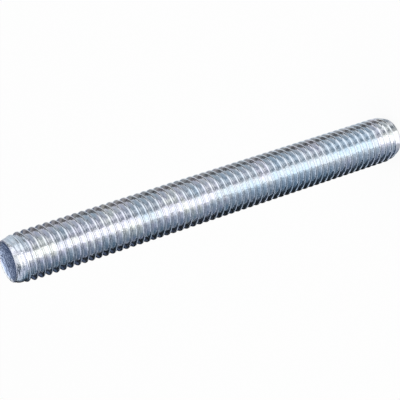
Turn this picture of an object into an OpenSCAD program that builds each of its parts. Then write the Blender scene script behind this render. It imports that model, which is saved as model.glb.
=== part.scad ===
// Fully threaded rod: one straight piece of round steel with a right-hand metric thread
// rolled along its whole length and both ends bevelled.
// The rod stands on one end: +Z runs along its axis and the origin is the centre of the lower end face.

/* [Rod] */
// Length from one end face to the other
length = 74.5; // [20:0.5:80]
// Diameter over the crests of the thread
thread_d = 8; // [6:0.5:16]

/* [Thread] */
// Advance of the thread in one turn
pitch = 1.25; // [1:0.05:2]
// Angle between the two flanks of a ridge, in degrees
flank_angle = 60; // [55:1:65]
// Share of the sharp profile's height that is flat at the crest
crest_share = 0.125; // [0.08:0.005:0.18]
// Share of the sharp profile's height that is flat at the root
root_share = 0.167; // [0.1:0.001:0.22]

/* [Ends] */
// How far the bevel lowers the crests at the end face
bevel_depth = 0.65; // [0.2:0.05:0.8]
// Length of the bevel along the axis
bevel_len = 3.5; // [1:0.1:6]

/* [Smoothness] */
// Flat sides round one turn
facets = 20; // [12:4:20]

/* [Hidden] */

zinc = [0.72, 0.75, 0.79];
crest_r = thread_d / 2;
flank_run = tan(flank_angle / 2);
sharp_height = pitch / 2 / flank_run;
groove_depth = sharp_height * (1 - crest_share - root_share);
root_r = crest_r - groove_depth;
crest_half = pitch * crest_share / 2;
foot_half = crest_half + groove_depth * flank_run;
end_r = crest_r - bevel_depth;
bevel_slope = bevel_depth / bevel_len;

// A ridge is crossed at four corners: lower foot, lower crest edge, upper crest edge, upper foot
CORNERS = 4;
// Ridges that begin below the lower end face; they and those above the upper one are trimmed
RIDGES_BELOW = 1;
ridges = RIDGES_BELOW + ceil(length / pitch) + 2;
rows = CORNERS * ridges;

// Distance of a height from the nearer end face
function from_end(z) = min(z, length - z);

// Radius of the bevel's cone at a height, which passes the crests further in
function bevel_r(z) = end_r + bevel_slope * from_end(z);

// Height of the middle of a ridge: it climbs one pitch in a full turn of columns
function ridge_z(column, ridge) = pitch * (ridge - RIDGES_BELOW + column / facets);

// Half width of a ridge's top on one side, side being -1 below and 1 above.
// Where the cone lies under the crest, the top reaches out to where the flank meets the cone.
function top_half(middle, side) =
    let (inward = (middle < length / 2 ? 1 : -1) * side)
    let (over = crest_r + crest_half / flank_run - bevel_r(middle))
    min(foot_half, max(crest_half, over / (1 / flank_run + bevel_slope * inward)));

// Radius of a flank at a distance from the middle of its ridge
function flank_r(away) = crest_r - (away - crest_half) / flank_run;

// Corner of the profile in one column, as height and radius
function ridge_corner(middle, corner) =
    let (side = corner < 2 ? -1 : 1)
    let (top = corner == 1 || corner == 2)
    let (away = top ? top_half(middle, side) : foot_half)
    let (z = middle + side * away)
    [z, min(flank_r(away), bevel_r(z))];

function corner_at(column, row) =
    ridge_corner(ridge_z(column, floor(row / CORNERS)), row % CORNERS);

// Radius of the rod where a column meets an end face
function face_r(column, z) =
    let (turn = z / pitch - column / facets)
    let (away = abs(turn - round(turn)) * pitch)
    min(end_r, max(root_r, flank_r(away)));

// The last row at or below the lower face and the first at or above the upper one, in each column
low_row = [for (column = [0:facets - 1])
    len([for (row = [0:rows - 1]) if (corner_at(column, row)[0] <= 0) row]) - 1];
high_row = [for (column = [0:facets - 1])
    len([for (row = [0:rows - 1]) if (corner_at(column, row)[0] < length) row])];

// Corner with the rod's ends in place: what would lie past an end face is on that face
function trimmed(column, row) =
    row <= low_row[column] ? [0, face_r(column, 0)]
    : row >= high_row[column] ? [length, face_r(column, length)]
    : corner_at(column, row);

function on_column(column, place) =
    let (angle = 360 * column / facets)
    [place[1] * cos(angle), place[1] * sin(angle), place[0]];

// Number of a point; after the last column comes the first again, one ridge higher
function point_at(column, row) =
    column == facets ? point_at(0, row + CORNERS)
    : column * rows + min(max(row, low_row[column]), high_row[column]);

// A side between two columns as two triangles, without those that an end face has closed up
function side_faces(column, row) =
    let (a = point_at(column, row))
    let (b = point_at(column + 1, row))
    let (c = point_at(column + 1, row + 1))
    let (d = point_at(column, row + 1))
    [for (face = [[a, c, b], [a, d, c]])
        if (face[0] != face[1] && face[1] != face[2] && face[2] != face[0]) face];

// Solid of the whole rod: thread, root and bevelled ends in one closed surface
module threaded_rod() {
    corners = [for (column = [0:facets - 1]) for (row = [0:rows - 1])
        on_column(column, trimmed(column, row))];
    lower_centre = len(corners);
    upper_centre = lower_centre + 1;
    sides = [for (column = [0:facets - 1]) for (row = [-CORNERS:rows - 2])
        each side_faces(column, row)];
    lower_face = [for (column = [0:facets - 1])
        [lower_centre, point_at(column, 0), point_at(column + 1, -CORNERS)]];
    upper_face = [for (column = [0:facets - 1])
        [upper_centre, point_at(column + 1, rows), point_at(column, rows)]];
    color(zinc)
        polyhedron(
            points = concat(corners, [[0, 0, 0], [0, 0, length]]),
            faces = concat(sides, lower_face, upper_face),
            convexity = 10
        );
}

threaded_rod();
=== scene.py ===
import math

import bpy
import numpy as np
from bpy.props import FloatProperty, FloatVectorProperty, IntProperty, PointerProperty
from mathutils import Matrix, Vector


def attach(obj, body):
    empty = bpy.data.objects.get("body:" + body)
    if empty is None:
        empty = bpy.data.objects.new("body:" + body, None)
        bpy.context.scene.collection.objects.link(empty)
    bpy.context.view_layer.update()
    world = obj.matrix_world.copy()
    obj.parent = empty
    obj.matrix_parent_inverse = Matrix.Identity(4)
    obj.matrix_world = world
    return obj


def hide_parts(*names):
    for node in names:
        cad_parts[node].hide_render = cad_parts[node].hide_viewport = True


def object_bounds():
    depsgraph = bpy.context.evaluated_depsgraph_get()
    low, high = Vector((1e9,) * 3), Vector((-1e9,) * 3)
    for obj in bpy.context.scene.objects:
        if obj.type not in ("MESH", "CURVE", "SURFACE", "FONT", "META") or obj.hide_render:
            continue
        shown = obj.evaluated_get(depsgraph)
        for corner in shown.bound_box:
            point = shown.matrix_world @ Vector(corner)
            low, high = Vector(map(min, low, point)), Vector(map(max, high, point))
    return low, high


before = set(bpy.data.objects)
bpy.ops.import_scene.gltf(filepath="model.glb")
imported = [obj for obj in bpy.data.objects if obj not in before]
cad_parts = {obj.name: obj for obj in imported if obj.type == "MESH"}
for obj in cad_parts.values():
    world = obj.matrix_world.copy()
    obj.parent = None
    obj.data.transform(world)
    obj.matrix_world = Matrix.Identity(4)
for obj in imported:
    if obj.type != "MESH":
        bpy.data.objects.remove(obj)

bl_info = {
    "name": "Threaded rod",
    "version": (1, 0, 0),
    "blender": (4, 5, 0),
    "location": "View3D > Sidebar > Rod",
    "description": "Builds a zinc plated threaded rod and the studio it stands in",
    "category": "Add Mesh",
}

MM = 0.001
CAD_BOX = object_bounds()
ROD_LENGTH = CAD_BOX[1].z - CAD_BOX[0].z
ROD_DIAMETER = CAD_BOX[1].x - CAD_BOX[0].x
FLANK_ANGLE = math.radians(60)
FLANK_FALL = math.tan(FLANK_ANGLE)
CREST_SHARE = 0.125

# Rows on the groove's round bottom, as angles from its deepest line
ROOT_ANGLES = (60, 40, 20)
# Rings that close an end: angles round the rim's rounding, then shares of the way out to the rim
RIM_ANGLES = (22.5, 45, 67.5, 90)
FACE_SHARES = (0.96, 0.9, 0.82, 0.72, 0.6, 0.45, 0.3, 0.12)
# Half the distance over which a slope of the surface is taken
NORMAL_STEP = 0.004 * MM

# Where the plate changes: radii for the end faces and for the groove's painted shade, and distances
# from the upper end face for its torn zone. Each pair is where a mask is full and where it ends.
FACE_RADII = (2.8 * MM, 3.1 * MM)
GROOVE_PAINTED_SHADE_RADII = (3.27 * MM, 3.42 * MM)
TORN_ZONE = (0.8 * MM, 2.6 * MM)
# Painted shade: share of the plate's colour that the groove's bottom keeps
GROOVE_PAINTED_SHADE_LEVEL = 0.80
# Sizes of the plate's patterns and heights of its bumps
FILM_PATCH = 5.0 * MM
CRYSTAL = 0.3 * MM
DULL_PATCH = 0.7 * MM
DENT, DENT_HEIGHT = 0.9 * MM, 0.10 * MM
WAVE, WAVE_HEIGHT = 0.8 * MM, 0.045 * MM
GRAIN_HEIGHT = 0.016 * MM

# Grid of the tent: columns round it, rings on each disc, steps up its wall, and how far it stands
# over the floor
TENT_COLUMNS = 180
TENT_RINGS = 30
TENT_STEPS = 56
TENT_LIFT = 0.2 * MM
FLOOR_REACH = 3.0
SENSOR_WIDTH = 36

# Cards in the studio tent: azimuth from the camera and elevation from the rod's middle, each from
# and to, in degrees, then the softness of the edges in azimuth and in elevation, the level, where
# 1 is white, and the colour. A later card covers an earlier one.
TENT_SHADE = 0.012
TENT_CARDS = (
    (-360, 360, 50, 120, 1, 10, 1.15, "#F2F6FF"),
    (-170, -50, 50, 120, 20, 14, 1.20, "#E4EEFF"),
    (-134, 0, -120, 46, 40, 24, 0.15, "#A0C4EA"),
    (-118, 0, -120, 14, 50, 20, 0.42, "#B8D8F6"),
    (-76, 0, -120, 10, 50, 16, 0.80, "#DEE9FA"),
    (-134, -66, 4, 18, 12, 6, 1.10, "#E8F0FF"),
    (18, 42, -120, 12, 8, 10, 0.40, "#D8E6FB"),
    (52, 72, -120, 12, 8, 10, 0.50, "#D8E6FB"),
    (66, 170, -120, 8, 8, 10, 0.80, "#E6F0FC"),
    (96, 178, 8, 48, 10, 8, 0.42, "#F2F0F2"),
    (104, 150, 32, 45, 10, 6, 0.12, "#E8E8F0"),
    (80, 138, 4, 20, 10, 6, 1.10, "#F4F8FF"),
    (160, 187, 33, 60, 8, 6, 2.00, "#F4F8FF"),
    (156, 204, 8, 33, 8, 6, 0.24, "#A8C0EE"),
    (24, 68, -4, 80, 24, 8, 1.50, "#F4F8FF"),
    (36, 57, -120, -4, 8, 8, 1.10, "#F4F8FF"),
    (-48, 0, -120, 12, 16, 8, 1.12, "#F2F6FC"),
    (-12, 25, -120, 24, 8, 10, 0.90, "#F2F6FC"),
    (-31, 12, 6, 60, 5, 12, 1.15, "#F4F8FF"),
    (-31, 12, -120, 10, 5, 8, 2.25, "#FAFBFC"),
)


def linear(hex_colour):
    """sRGB hex colour as linear red, green and blue."""
    srgb = [int(hex_colour[i:i + 2], 16) / 255 for i in (1, 3, 5)]
    return tuple(c / 12.92 if c <= 0.04045 else ((c + 0.055) / 1.055) ** 2.4 for c in srgb)


def length_property(name, description, default):
    return FloatProperty(
        name=name, description=description, default=default, min=0.0,
        subtype="DISTANCE", unit="LENGTH", precision=5,
    )


def colour_property(name, description, hex_colour):
    return FloatVectorProperty(
        name=name, description=description, default=linear(hex_colour),
        size=3, min=0.0, max=1.0, subtype="COLOR",
    )


class RodSizes(bpy.types.PropertyGroup):
    """Sizes of the rod and its thread."""

    length: length_property("Length", "From one end face to the other", ROD_LENGTH)
    diameter: length_property("Thread diameter", "Over the crests of the thread", ROD_DIAMETER)
    pitch: length_property("Pitch", "Advance of the thread in one turn", 1.25 * MM)
    crest_round: length_property(
        "Crest rounding", "Height over which a crest's edge is rounded", 0.17 * MM)
    root_radius: length_property("Root radius", "Radius of the groove's round bottom", 0.18 * MM)
    bevel_depth: length_property("Bevel depth", "How far the bevel lowers the crests", 0.65 * MM)
    bevel_length: length_property("Bevel length", "Length of the bevel along the axis", 3.5 * MM)
    foot_depth: length_property("Foot depth", "How far the rounder lower end falls in", 0.80 * MM)
    foot_length: length_property("Foot length", "Length of the rounder lower end", 2.7 * MM)
    run_out_top: length_property(
        "Upper run-out", "Where the groove ends, from the upper end face", 1.2 * MM)
    run_out_foot: length_property(
        "Lower run-out", "Where the groove begins, from the lower end face", 0.4 * MM)
    run_out: length_property("Run-out length", "Way over which the groove gets its full depth", 1.9 * MM)
    edge_radius: length_property("Edge radius", "Rounding between bevel and end face", 0.16 * MM)
    dish_depth: length_property("Dish depth", "How far the end faces fall in to their middle", 0.24 * MM)
    columns: IntProperty(name="Columns", description="Sides round one turn", default=96, min=24)


class Finishes(bpy.types.PropertyGroup):
    """Colours of the zinc plate and of its film."""

    zinc: colour_property("Zinc", "Bright zinc plate under a thin film", "#D9DDE0")
    film_blue: colour_property("Blue film", "Tint of the passivation where it is thinnest", "#D1DBE2")
    film_violet: colour_property("Violet film", "Tint of the passivation where it is thicker", "#E2E1E8")
    film_straw: colour_property("Straw film", "Tint of the passivation where it is thickest", "#E8E9E6")
    cut_face: colour_property("Cut face", "Plate over the cut end faces", "#A2AEC4")
    roughness: FloatProperty(
        name="Roughness", description="Roughness of the smooth flanks", default=0.11, min=0.0, max=1.0,
        subtype="FACTOR",
    )


def angle_property(name, description, degrees):
    return FloatProperty(
        name=name, description=description, default=math.radians(degrees),
        subtype="ANGLE", unit="ROTATION", precision=3,
    )


class Studio(bpy.types.PropertyGroup):
    """Camera, floor and light of the studio."""

    camera_turn: angle_property("Camera turn", "Direction of the camera round the rod", 148.058)
    camera_elevation: angle_property("Camera elevation", "Height of the camera as an angle", 27.291)
    camera_roll: angle_property("Camera roll", "Turn of the picture about its middle", 108.136)
    camera_distance: length_property("Camera distance", "From the point the camera looks at", 221.619 * MM)
    aim_height: length_property("Aim height", "Height of the point the camera looks at", 39.825 * MM)
    aim_aside: FloatProperty(
        name="Aim aside", description="Distance of that point from the axis", default=-0.199 * MM,
        subtype="DISTANCE", unit="LENGTH", precision=5,
    )
    lens: FloatProperty(name="Lens", description="Focal length in millimetres", default=121.498, min=1.0)
    floor: colour_property("Floor", "Floor and backdrop", "#FEFEFE")
    floor_shade: FloatProperty(
        name="Floor shade", description="Share of the floor's white that a shadow takes away",
        default=0.08, min=0.0, max=1.0, subtype="FACTOR",
    )
    fill: FloatProperty(name="Fill", description="Level of the light from all round", default=0.5, min=0.0)
    lamp_power: FloatProperty(
        name="Lamp power", description="Power of the overhead lamp", default=5.0, min=0.0, unit="POWER",
    )
    lamp_size: length_property("Lamp size", "Width of the overhead lamp", 0.6)
    lamp_height: length_property("Lamp height", "Height of the overhead lamp", 1.0)
    tent_radius: length_property("Tent radius", "Radius of the tent of cards round the rod", 0.3)
    tent_height: length_property("Tent height", "Height of the tent of cards", 0.66)
    # Painted shadow: under the rod the tent's floor disc, which the rod mirrors, is darkened by this share
    painted_foot_shadow: FloatProperty(
        name="Foot shade", description="Share of its light that the floor keeps under the rod",
        default=0.6, min=0.0, max=1.0, subtype="FACTOR",
    )
    painted_foot_shadow_from: length_property(
        "Foot shade from", "Distance from the axis where the shade is full", 4 * MM)
    painted_foot_shadow_to: length_property(
        "Foot shade to", "Distance from the axis where the shade ends", 10 * MM)


def end_fall(sizes, z):
    """How far the rod's cover lies under the crests.

    At both ends it falls with the square of the way into the bevel, so that it leaves the crests
    without an edge and is steepest at the end face.
    """
    into_bevel = np.clip(1 - (sizes.length - z) / sizes.bevel_length, 0, None)
    into_foot = np.clip(1 - z / sizes.foot_length, 0, None)
    return sizes.bevel_depth * into_bevel ** 2 + sizes.foot_depth * into_foot ** 2


def rod_radius(sizes, angle, z):
    """Radius of the rod at an angle and a height.

    The thread is a wave along the height that climbs one pitch in a turn. With d the distance
    from the middle of the nearest ridge, its flank falls by tan 60 for each unit of d. Near the
    groove's bottom a circle that touches both flanks takes over. The crests are cut off by the
    cover, a cylinder that falls in at the ends. The groove runs out there: it is no deeper under
    the cover than a share that grows from the end face inwards. A smooth minimum of thread and
    cover rounds the crest's edges. That takes a little off the middle of the crest too, so the
    cover is lifted by the same amount and the crest keeps its full radius.
    """
    crest_r = sizes.diameter / 2
    half = sizes.pitch / 2
    crest_half = half * CREST_SHARE
    root = sizes.root_radius
    turn = z / sizes.pitch - angle / (2 * np.pi)
    away = np.abs(turn - np.round(turn)) * sizes.pitch
    flank = crest_r - (away - crest_half) * FLANK_FALL
    root_centre = crest_r - (half - crest_half) * FLANK_FALL + 2 * root
    across = np.minimum(half - away, root)
    bottom = root_centre - np.sqrt(root ** 2 - across ** 2)
    thread = np.where(across < root * math.sin(FLANK_ANGLE), bottom, flank)
    full_depth = crest_r - root_centre + root
    lift = (math.sqrt(sizes.crest_round) - math.sqrt(crest_half * FLANK_FALL)) ** 2
    cover = crest_r + lift - end_fall(sizes, z)
    cut = np.minimum(z - sizes.run_out_foot, sizes.length - sizes.run_out_top - z) / sizes.run_out
    thread = np.maximum(thread, cover - full_depth * np.clip(cut, 0, 1))
    share = np.clip(0.5 + 0.5 * (cover - thread) / sizes.crest_round, 0, 1)
    return cover + (thread - cover) * share - sizes.crest_round * share * (1 - share)


def helix_rows(sizes, middle):
    """Distances of the profile's rows from the middle of their ridge, for ridges at these heights.

    Three rows follow each edge of the crest. It lies where the flank meets the cover, so it moves
    outwards where the crest falls in at an end. The others divide the flank and the root.
    """
    half = sizes.pitch / 2
    root = sizes.root_radius
    root_edge = half - root * math.sin(FLANK_ANGLE)
    lowered = end_fall(sizes, middle)
    edge = half * CREST_SHARE + lowered / FLANK_FALL
    edge = np.minimum(edge, root_edge - 0.03 * sizes.pitch)
    soft = 0.6 * sizes.crest_round
    inner = np.maximum(edge - soft, 0.4 * edge)
    outer = np.minimum(edge + soft, (edge + root_edge) / 2)
    upper = [inner, edge, outer, (outer + root_edge) / 2]
    upper += [half - root * math.sin(math.radians(a)) + 0 * middle for a in ROOT_ANGLES]
    return np.stack([-d for d in reversed(upper)] + [0 * middle] + upper + [half + 0 * middle], -1)


def rod_mesh(sizes):
    """Points, triangles and normals of the rod.

    Column c lies at angle a = c / columns of a turn. Row i of ridge m lies at the height
    pitch * (m + a / turn) plus the row's distance from its ridge, and has the rod's radius there,
    so that the rows follow the thread. Rows past an end are gathered on the ring where its edge
    begins. From there a quarter circle of the edge radius and flat rings close the end.
    """
    n = sizes.columns
    angle = np.arange(n) * 2 * np.pi / n
    low, high = sizes.edge_radius, sizes.length - sizes.edge_radius
    ridge = np.arange(-1, math.ceil(sizes.length / sizes.pitch) + 2)
    middle = sizes.pitch * (ridge[None, :] + angle[:, None] / (2 * np.pi))
    z = (middle[:, :, None] + helix_rows(sizes, middle)).reshape(n, -1)
    per_ridge = z.shape[1] // len(ridge)
    first = (z <= low).sum(1, keepdims=True) - 1
    last = (z < high).sum(1, keepdims=True)
    z = np.clip(z, low, high)
    sides = surface_points(sizes, angle[:, None], z)
    row = np.arange(-per_ridge, z.shape[1])[None, :]
    number = np.arange(n)[:, None] * z.shape[1]
    here = number + np.clip(row, first, last)
    row = row + np.where(np.arange(n) == n - 1, per_ridge, 0)[:, None]
    there = np.roll(number, -1, 0) + np.clip(row, np.roll(first, -1, 0), np.roll(last, -1, 0))
    faces = [grid_faces(here, there)]
    points = [sides.reshape(-1, 3)]
    normals = [surface_normals(sizes, angle[:, None], z).reshape(-1, 3)]
    count = z.size
    for ring, foot, up in ((first, low, -1), (last, high, 1)):
        ring_number = np.arange(n) * z.shape[1] + ring[:, 0]
        rim = rod_radius(sizes, angle, foot)
        cap, cap_normals = end_cap(sizes, angle, rim, foot, up)
        index = count + np.arange(cap.shape[0] * n).reshape(-1, n)
        index = np.vstack([ring_number[None, :], index])
        centre = count + cap.shape[0] * n
        index = np.vstack([index, np.full((1, n), centre)])
        a, b = index.T, np.roll(index.T, -1, 0)
        faces.append(grid_faces(a, b) if up > 0 else grid_faces(b, a))
        deepest = foot + up * (sizes.edge_radius - sizes.dish_depth)
        points += [cap.reshape(-1, 3), np.array([[0, 0, deepest]])]
        normals += [cap_normals.reshape(-1, 3), np.array([[0, 0, up]])]
        count = centre + 1
    points, faces, normals = np.vstack(points), np.vstack(faces), np.vstack(normals)
    used, faces = np.unique(faces, return_inverse=True)
    return points[used], faces.reshape(-1, 3), normals[used]


def surface_points(sizes, angle, z):
    r = rod_radius(sizes, angle, z)
    return np.stack(np.broadcast_arrays(r * np.cos(angle), r * np.sin(angle), z), -1)


def surface_normals(sizes, angle, z):
    """Outward normals: across the slopes of the radius along the angle and along the height."""
    step = NORMAL_STEP
    r = rod_radius(sizes, angle, z)
    turn = step / r
    along = (rod_radius(sizes, angle + turn, z) - rod_radius(sizes, angle - turn, z)) / (2 * step)
    rise = (rod_radius(sizes, angle, z + step) - rod_radius(sizes, angle, z - step)) / (2 * step)
    x = np.cos(angle) + along * np.sin(angle)
    y = np.sin(angle) - along * np.cos(angle)
    normal = np.stack([x, y, -rise], -1)
    return normal / np.linalg.norm(normal, axis=-1, keepdims=True)


def end_cap(sizes, angle, rim, foot, up):
    """Rings of one end: a quarter circle inwards from the rim, then a face that the shear dished.

    With t the share of the way from the middle to the rim, the face lies under its rim by the
    dish's depth times one less the fourth power of t. So it is nearly flat in the middle and
    steepest at the rim.
    """
    bend = np.radians(RIM_ANGLES)
    edge = sizes.edge_radius
    inner = np.array(FACE_SHARES)
    inset = np.concatenate([edge * (1 - np.cos(bend)), np.full(inner.size, edge)])
    shrink = np.concatenate([np.ones(bend.size), inner])
    r = (rim[None, :] - inset[:, None]) * shrink[:, None]
    dish = sizes.dish_depth * (1 - inner ** 4)
    rise = np.concatenate([edge * np.sin(bend), edge - dish])
    z = np.broadcast_to((foot + up * rise)[:, None], r.shape)
    fall = np.arctan(4 * sizes.dish_depth * inner ** 3 / (sizes.diameter / 2 - sizes.bevel_depth))
    tilt = np.concatenate([bend, np.pi / 2 + fall])[:, None]
    points = np.stack([r * np.cos(angle), r * np.sin(angle), z], -1)
    outward = np.cos(tilt)
    normals = (outward * np.cos(angle), outward * np.sin(angle), up * np.sin(tilt))
    return points, np.stack(np.broadcast_arrays(*normals), -1)


def grid_faces(here, there):
    """Triangles between two sets of columns, without those that have closed up."""
    a, b, c, d = here[:, :-1], there[:, :-1], there[:, 1:], here[:, 1:]
    faces = np.vstack([np.stack([a, b, c], -1).reshape(-1, 3), np.stack([a, c, d], -1).reshape(-1, 3)])
    closed = (faces[:, 0] == faces[:, 1]) | (faces[:, 1] == faces[:, 2]) | (faces[:, 2] == faces[:, 0])
    return faces[~closed]


def add_node(owner, kind, settings=None, links=None):
    """Adds a node, with settings of its own properties or input values, and links to its inputs."""
    node = owner.node_tree.nodes.new(kind)
    for name, value in (settings or {}).items():
        if name == "stops":
            for (place, colour), stop in zip(value, colour_stops(node, len(value))):
                stop.position = place
                stop.color = (*colour, 1)
        elif isinstance(name, int) or name in node.inputs:
            node.inputs[name].default_value = value
        else:
            setattr(node, name, value)
    for name, socket in (links or {}).items():
        owner.node_tree.links.new(socket, node.inputs[name])
    return node


def colour_stops(node, count):
    stops = node.color_ramp.elements
    while len(stops) < count:
        stops.new(0.5)
    return stops


def zinc_plate(finishes, length):
    """Bright zinc plate, blue-passivated, over a rolled thread.

    The rolled flanks are smooth, so they mirror the studio and the ridges show as bright lines.
    The passivation film tints the zinc blue, violet and straw in patches, and the zinc's own
    crystals mottle it more finely. Painted shade darkens the grooves' bottoms. Both end faces are
    darker and bluer. The upper end is also dented and a little rougher, where its metal tore.
    """
    material = bpy.data.materials.new("blue_passivated_zinc_plate")
    material.use_nodes = True
    shader = material.node_tree.nodes["Principled BSDF"]
    shader.inputs["Metallic"].default_value = 1
    place = add_node(material, "ShaderNodeTexCoord").outputs["Object"]

    # Masks: the end faces lie within the grooves' bottom radius, and the upper end is torn
    height = add_node(material, "ShaderNodeSeparateXYZ", {}, {"Vector": place}).outputs["Z"]
    across = add_node(material, "ShaderNodeVectorMath", {
        "operation": "MULTIPLY", 1: (1, 1, 0)}, {0: place})
    radius = add_node(material, "ShaderNodeVectorMath", {"operation": "LENGTH"}, {0: across.outputs[0]})
    face = add_node(material, "ShaderNodeMapRange", {
        "From Min": FACE_RADII[1], "From Max": FACE_RADII[0]},
        {"Value": radius.outputs["Value"]}).outputs[0]
    bevel = add_node(material, "ShaderNodeMapRange", {
        "From Min": length - TORN_ZONE[1], "From Max": length - TORN_ZONE[0]},
        {"Value": height}).outputs[0]

    # Film: patches of 5 mm, on the whole thinner and bluer downwards; over the last seventh the tint
    # turns lighter again, towards violet and straw
    film = add_node(material, "ShaderNodeTexNoise", {
        "Scale": 1 / FILM_PATCH, "Detail": 2.5}, {"Vector": place})
    drift = add_node(material, "ShaderNodeMapRange", {
        "From Min": 0.1 * length, "From Max": 0.95 * length, "To Min": -0.08, "To Max": 0.10},
        {"Value": height}).outputs[0]
    foot = add_node(material, "ShaderNodeMapRange", {
        "From Min": 0.14 * length, "From Max": 0.02 * length, "To Min": 0.0, "To Max": 0.22},
        {"Value": height}).outputs[0]
    shift = add_node(material, "ShaderNodeMath", {"operation": "ADD"}, {0: drift, 1: foot})
    thickness = add_node(material, "ShaderNodeMath", {"operation": "ADD"}, {
        0: film.outputs["Fac"], 1: shift.outputs[0]})
    tint = add_node(material, "ShaderNodeValToRGB", {"stops": (
        (0.38, finishes.film_blue), (0.50, finishes.zinc), (0.58, finishes.film_violet),
        (0.68, finishes.film_straw))}, {"Fac": thickness.outputs[0]})
    cut = add_node(material, "ShaderNodeMix", {"data_type": "RGBA", 7: (*finishes.cut_face, 1)},
                   {0: face, 6: tint.outputs["Color"]})

    # Crystals of the plate: some hundredths of a millimetre in truth, drawn at 0.3 mm to show
    crystals = add_node(material, "ShaderNodeTexNoise", {
        "Scale": 1 / CRYSTAL, "Detail": 3.0, "Roughness": 0.6}, {"Vector": place}).outputs["Fac"]
    mottle = add_node(material, "ShaderNodeValToRGB", {"stops": (
        (0.3, (0.82, 0.84, 0.87)), (0.55, (1.0, 1.0, 1.0)))}, {"Fac": crystals})
    plate = add_node(material, "ShaderNodeMix", {"data_type": "RGBA", "blend_type": "MULTIPLY", 0: 1.0},
                     {6: cut.outputs[2], 7: mottle.outputs["Color"]})

    # Painted shade: the colour is darker in the grooves' bottoms
    bottom = add_node(material, "ShaderNodeMapRange", {
        "From Min": GROOVE_PAINTED_SHADE_RADII[0], "From Max": GROOVE_PAINTED_SHADE_RADII[1], "To Min": GROOVE_PAINTED_SHADE_LEVEL, "To Max": 1.0},
        {"Value": radius.outputs["Value"]}).outputs[0]
    level = add_node(material, "ShaderNodeMix", {"data_type": "FLOAT", 3: 1.0}, {0: face, 2: bottom})
    colour = add_node(material, "ShaderNodeVectorMath", {"operation": "SCALE"}, {
        0: plate.outputs[2], "Scale": level.outputs[0]})

    # Duller and brighter patches, and the torn upper end, which is rougher than the flanks
    patches = add_node(material, "ShaderNodeTexNoise", {
        "Scale": 1 / DULL_PATCH, "Detail": 2.0}, {"Vector": place}).outputs["Fac"]
    dull = add_node(material, "ShaderNodeMapRange", {
        "From Min": 0.3, "From Max": 0.7, "To Min": 0.75 * finishes.roughness,
        "To Max": 1.7 * finishes.roughness}, {"Value": patches}).outputs[0]
    rough = add_node(material, "ShaderNodeMath", {
        "operation": "MULTIPLY_ADD", 1: 0.12}, {0: bevel, 2: dull})

    # Dents and torn patches that the shear left on the upper end, about 1 mm wide
    dents = add_node(material, "ShaderNodeTexNoise", {
        "Scale": 1 / DENT, "Detail": 2.0, "Distortion": 0.6}, {"Vector": place}).outputs["Fac"]
    dent_level = add_node(material, "ShaderNodeMath", {"operation": "SUBTRACT", 1: 0.5}, {0: dents})
    dent_height = add_node(material, "ShaderNodeMath", {"operation": "MULTIPLY"}, {
        0: dent_level.outputs[0], 1: bevel})
    dent_bump = add_node(material, "ShaderNodeBump", {"Strength": 1.0, "Distance": DENT_HEIGHT},
                         {"Height": dent_height.outputs[0]}).outputs["Normal"]

    # Unevenness: waves of 0.8 mm from the rolling and grains of 0.3 mm. A real plate's are a few
    # micrometres high; these are higher, so that they show at this size. The torn end has less grain.
    waves = add_node(material, "ShaderNodeTexNoise", {
        "Scale": 1 / WAVE, "Detail": 2.0}, {"Vector": place}).outputs["Fac"]
    wave_bump = add_node(material, "ShaderNodeBump", {
        "Strength": 1.0, "Distance": WAVE_HEIGHT},
        {"Height": waves, "Normal": dent_bump}).outputs["Normal"]
    grain_share = add_node(material, "ShaderNodeMath", {
        "operation": "MULTIPLY_ADD", 1: -0.35, 2: 1.0}, {0: bevel})
    grain = add_node(material, "ShaderNodeMath", {"operation": "MULTIPLY"},
                     {0: crystals, 1: grain_share.outputs[0]})
    bump = add_node(material, "ShaderNodeBump", {"Strength": 1.0, "Distance": GRAIN_HEIGHT},
                    {"Height": grain.outputs[0], "Normal": wave_bump})

    for name, socket in (("Base Color", colour.outputs[0]), ("Roughness", rough.outputs[0]),
                         ("Normal", bump.outputs["Normal"])):
        material.node_tree.links.new(socket, shader.inputs[name])
    return material


def seen_directly(owner):
    """A number that is 1 for the camera and for what mirrors or lets through, and 0 for other rays."""
    rays = add_node(owner, "ShaderNodeLightPath").outputs
    glossy = add_node(owner, "ShaderNodeMath", {"operation": "MAXIMUM"},
                      {0: rays["Is Camera Ray"], 1: rays["Is Glossy Ray"]}).outputs[0]
    return add_node(owner, "ShaderNodeMath", {"operation": "MAXIMUM"},
                    {0: glossy, 1: rays["Is Transmission Ray"]}).outputs[0]


def output_node(owner, shader):
    """Gives a material's or world's output this shader in place of what it came with."""
    tree = owner.node_tree
    kind = "ShaderNodeOutputWorld" if isinstance(owner, bpy.types.World) else "ShaderNodeOutputMaterial"
    tree.links.new(shader, add_node(owner, kind).inputs["Surface"])


def empty_nodes(owner):
    owner.use_nodes = True
    owner.node_tree.nodes.clear()
    return owner


def floor_paper(studio):
    """Plain white studio paper: white to the camera, less what a shadow takes away."""
    material = empty_nodes(bpy.data.materials.new("white_studio_paper"))
    material.cycles.emission_sampling = "NONE"
    colour = (*studio.floor, 1)
    shade = tuple(c * studio.floor_shade for c in studio.floor)
    glow = add_node(material, "ShaderNodeEmission", {
        "Color": colour, "Strength": 1 - studio.floor_shade})
    lit = add_node(material, "ShaderNodeBsdfDiffuse", {"Color": (*shade, 1)})
    seen = add_node(material, "ShaderNodeAddShader", {}, {0: glow.outputs[0], 1: lit.outputs[0]})
    plain = add_node(material, "ShaderNodeBsdfDiffuse", {"Color": colour})
    paper = add_node(material, "ShaderNodeMixShader", {},
                     {0: seen_directly(material), 1: plain.outputs[0], 2: seen.outputs[0]})
    output_node(material, paper.outputs[0])
    return material


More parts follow.
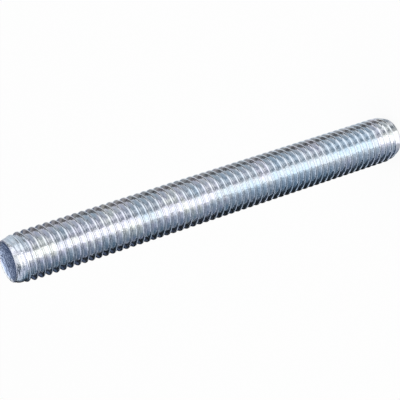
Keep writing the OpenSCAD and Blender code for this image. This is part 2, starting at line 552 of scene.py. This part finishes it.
def card_material():
    """Grey and white studio card, which glows with the colours stored in its mesh."""
    material = empty_nodes(bpy.data.materials.new("graded_studio_card"))
    material.cycles.emission_sampling = "NONE"
    cards = add_node(material, "ShaderNodeAttribute", {"attribute_name": "cards"})
    glow = add_node(material, "ShaderNodeEmission", {}, {"Color": cards.outputs["Color"]})
    output_node(material, glow.outputs[0])
    return material


def smooth_step(value, edge, soft):
    t = np.clip((value - edge) / soft + 0.5, 0, 1)
    return t * t * (3 - 2 * t)


def tent_colours(azimuth, elevation):
    """Red, green and blue of the tent in these directions, in degrees.

    Each card covers a window in azimuth and elevation with soft edges, on top of the ones before.
    """
    colours = np.full((*np.broadcast(azimuth, elevation).shape, 3), TENT_SHADE)
    for left, right, low, high, soft_across, soft_along, level, tone in TENT_CARDS:
        turned = (azimuth - (left + right) / 2 + 180) % 360 - 180
        across = smooth_step(-np.abs(turned), (left - right) / 2, soft_across)
        along = smooth_step(elevation, low, soft_along) * smooth_step(-elevation, -high, soft_along)
        card = level * np.array(linear(tone))
        colours = colours + (card - colours) * (across * along)[..., None]
    return colours


def tent_mesh(studio, middle):
    """Round tent of cards: a floor disc, an upright wall and a ceiling disc, as one grid.

    One parameter runs round the tent and the other out over the floor, up the wall and back in
    under the ceiling. Each point's colour is that of the cards in its direction. On the floor disc
    near the rod it is darkened as a painted shadow of the rod, which the rod mirrors.
    """
    height = studio.tent_height
    out = np.linspace(0, 1, TENT_RINGS)[1:-1] ** 2
    up = np.linspace(0, 1, TENT_STEPS)
    r = studio.tent_radius * np.concatenate([out, np.ones_like(up), out[::-1]])
    disc_z = np.full_like(out, TENT_LIFT)
    z = np.concatenate([disc_z, TENT_LIFT + up * height, disc_z + height])
    angle = np.arange(TENT_COLUMNS) * 2 * np.pi / TENT_COLUMNS
    around = angle + studio.camera_turn - np.pi / 2
    points = np.stack(np.broadcast_arrays(
        r[None, :] * np.cos(around)[:, None], r[None, :] * np.sin(around)[:, None], z[None, :]), -1)
    elevation = np.degrees(np.arctan2(z - middle, r))
    colours = tent_colours(np.degrees(angle)[:, None], elevation[None, :])
    # Painted shadow of the rod: the floor disc is darkened near the rod's axis, and the rod mirrors it
    shade_from, shade_to = studio.painted_foot_shadow_from, studio.painted_foot_shadow_to
    foot = smooth_step(r, 0.5 * (shade_from + shade_to), shade_to - shade_from)
    painted_shadow_kept = studio.painted_foot_shadow + (1 - studio.painted_foot_shadow) * foot
    colours = colours * np.where(z > MM, 1, painted_shadow_kept)[None, :, None]
    index = np.arange(TENT_COLUMNS * len(r)).reshape(TENT_COLUMNS, -1)
    there = np.roll(index, -1, 0)
    faces = np.stack([index[:, :-1], index[:, 1:], there[:, 1:], there[:, :-1]], -1).reshape(-1, 4)
    mesh = bpy.data.meshes.new("studio_tent")
    mesh.from_pydata(points.reshape(-1, 3), [], faces)
    colours = np.concatenate([colours.reshape(-1, 3), np.ones((index.size, 1))], 1)
    cards = mesh.color_attributes.new("cards", "FLOAT_COLOR", "POINT")
    cards.data.foreach_set("color", colours.ravel())
    return mesh


def add_stage_piece(scene, name, mesh, material):
    mesh.materials.append(material)
    piece = bpy.data.objects.new(name, mesh)
    scene.collection.objects.link(piece)
    return piece


def add_camera(scene, studio):
    """Camera that looks at a point on the rod, turned about the rod and rolled about its view."""
    data = bpy.data.cameras.new("camera")
    data.lens = studio.lens
    data.sensor_width = SENSOR_WIDTH
    data.clip_start = 0.01
    camera = bpy.data.objects.new("camera", data)
    scene.collection.objects.link(camera)
    scene.camera = camera
    turn = Matrix.Rotation(studio.camera_turn, 3, "Z")
    forward = turn @ Vector((0, math.cos(studio.camera_elevation), -math.sin(studio.camera_elevation)))
    aim = turn @ Vector((studio.aim_aside, 0, studio.aim_height))
    level = (Vector((0, 0, 1)) - forward * forward.z).normalized()
    up = math.cos(studio.camera_roll) * level + math.sin(studio.camera_roll) * forward.cross(level)
    right = forward.cross(up)
    place = Matrix.Translation(aim - forward * studio.camera_distance)
    camera.matrix_world = place @ Matrix((right, up, -forward)).transposed().to_4x4()


def add_lamp(scene, studio):
    """Overhead softbox. The metal mirrors the tent's cards and not this lamp."""
    data = bpy.data.lights.new("overhead_softbox", "AREA")
    data.shape = "DISK"
    data.size = studio.lamp_size
    data.energy = studio.lamp_power
    lamp = bpy.data.objects.new("overhead_softbox", data)
    lamp.location = (0, 0, studio.lamp_height)
    lamp.visible_camera = False
    lamp.visible_glossy = False
    scene.collection.objects.link(lamp)


def add_world(scene, studio):
    """White backdrop for the camera and for mirrors, and an even fill light for the rest."""
    world = empty_nodes(bpy.data.worlds.new("studio"))
    world.cycles.sampling_method = "NONE"
    backdrop = add_node(world, "ShaderNodeBackground", {"Color": (*studio.floor, 1), "Strength": 1.0})
    fill = add_node(world, "ShaderNodeBackground", {"Color": (1, 1, 1, 1), "Strength": studio.fill})
    both = add_node(world, "ShaderNodeMixShader", {},
                    {0: seen_directly(world), 1: fill.outputs[0], 2: backdrop.outputs[0]})
    output_node(world, both.outputs[0])
    scene.world = world


class MESH_OT_rod_add(bpy.types.Operator):
    """Builds the threaded rod in place of the plain one"""

    bl_idname = "mesh.threaded_rod_add"
    bl_label = "Threaded rod"

    def execute(self, context):
        scene = context.scene
        points, faces, normals = rod_mesh(scene.rod_sizes)
        mesh = bpy.data.meshes.new("rod")
        mesh.from_pydata(points, [], faces)
        mesh.validate()
        mesh.polygons.foreach_set("use_smooth", np.ones(len(mesh.polygons), bool))
        mesh.normals_split_custom_set_from_vertices(normals)
        mesh.materials.append(zinc_plate(scene.rod_finishes, scene.rod_sizes.length))
        rod = bpy.data.objects.new("rod", mesh)
        scene.collection.objects.link(rod)
        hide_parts("threaded_rod")
        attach(rod, "root")
        print("triangles", len(mesh.polygons))
        return {"FINISHED"}


class SCENE_OT_rod_studio(bpy.types.Operator):
    """Sets up the floor, the tent of cards, the light and the camera"""

    bl_idname = "scene.rod_studio"
    bl_label = "Studio"

    def execute(self, context):
        scene = context.scene
        studio = scene.rod_studio
        scene.view_settings.view_transform = "Standard"
        reach = FLOOR_REACH
        floor = bpy.data.meshes.new("floor")
        corners = [(-reach, -reach, 0), (reach, -reach, 0), (reach, reach, 0), (-reach, reach, 0)]
        floor.from_pydata(corners, [], [(0, 1, 2, 3)])
        add_stage_piece(scene, "floor", floor, floor_paper(studio))
        cards = tent_mesh(studio, scene.rod_sizes.length / 2)
        tent = add_stage_piece(scene, "studio_tent", cards, card_material())
        for ray in ("camera", "diffuse", "transmission", "volume_scatter", "shadow"):
            setattr(tent, "visible_" + ray, False)
        add_camera(scene, studio)
        add_lamp(scene, studio)
        add_world(scene, studio)
        return {"FINISHED"}


class VIEW3D_PT_rod(bpy.types.Panel):
    """Sizes, finishes and studio of the rod, with the buttons that build them"""

    bl_idname = "VIEW3D_PT_threaded_rod"
    bl_label = "Threaded rod"
    bl_space_type = "VIEW_3D"
    bl_region_type = "UI"
    bl_category = "Rod"

    def draw(self, context):
        for group in ("rod_sizes", "rod_finishes", "rod_studio"):
            settings = getattr(context.scene, group)
            column = self.layout.column()
            for name in settings.__annotations__:
                column.prop(settings, name)
        self.layout.operator("mesh.threaded_rod_add")
        self.layout.operator("scene.rod_studio")


CLASSES = (RodSizes, Finishes, Studio, MESH_OT_rod_add, SCENE_OT_rod_studio, VIEW3D_PT_rod)


def register():
    for cls in CLASSES:
        bpy.utils.register_class(cls)
    bpy.types.Scene.rod_sizes = PointerProperty(type=RodSizes)
    bpy.types.Scene.rod_finishes = PointerProperty(type=Finishes)
    bpy.types.Scene.rod_studio = PointerProperty(type=Studio)


def unregister():
    del bpy.types.Scene.rod_studio
    del bpy.types.Scene.rod_finishes
    del bpy.types.Scene.rod_sizes
    for cls in reversed(CLASSES):
        bpy.utils.unregister_class(cls)


def main():
    register()
    bpy.ops.mesh.threaded_rod_add()
    bpy.ops.scene.rod_studio()


if __name__ == "__main__":
    main()
